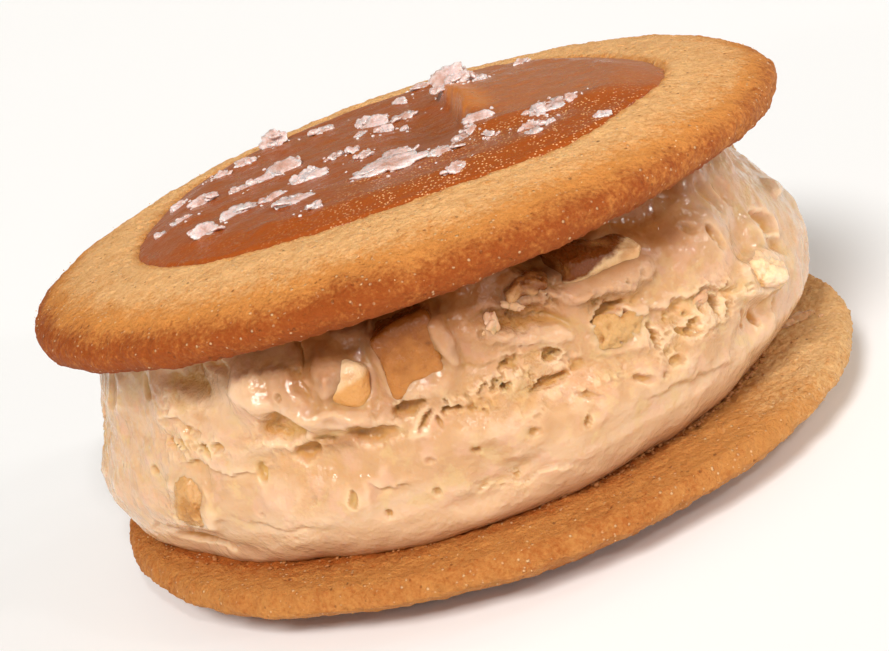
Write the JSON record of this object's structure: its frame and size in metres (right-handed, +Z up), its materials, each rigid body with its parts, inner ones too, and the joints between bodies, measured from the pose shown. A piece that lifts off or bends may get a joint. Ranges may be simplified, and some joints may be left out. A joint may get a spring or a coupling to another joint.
{
  "type": "ice cream sandwich",
  "caption": "Round ice cream sandwich: shortbread cookies, caramel ice cream with toffee and crumb lumps, and a pool of salted caramel on top.",
  "frame": {"origin": "middle of the flat spot on the underside that the sandwich rests on", "axes": "+Z up through both cookies; -Y faces the side with the most toffee showing"},
  "size_m": [0.0806, 0.0811, 0.0374],
  "materials": {
    "bottom_cookie": "baked shortbread, its browned flat underside turned up, fine sandy grain",
    "top_cookie": "baked shortbread, pale golden with a browned rim, fine sandy grain",
    "ice_cream": "caramel ice cream, soft and porous, wet where it melts",
    "caramel": "soft caramel, smooth and glossy, with fine bubbles",
    "toffee": "toffee lumps, satin, worn edges",
    "crumb": "crumbly golden cookie bits",
    "salt": "flaky sea salt, translucent"
  },
  "bodies": {
    "root": {"bottom_cookie": "bottom_cookie", "top_cookie": "top_cookie", "ice_cream": "ice_cream", "caramel_pool": "caramel", "toffee_front": "toffee", "toffee_small": "toffee", "toffee_right": "toffee", "toffee_dark": "toffee", "toffee_back_left": "toffee", "toffee_back_right": "toffee", "crumb_right": "crumb", "crumb_pale": "crumb", "crumb_left": "crumb", "crumb_back": "crumb", "crumb_side": "crumb"}
  },
  "joints": []
}
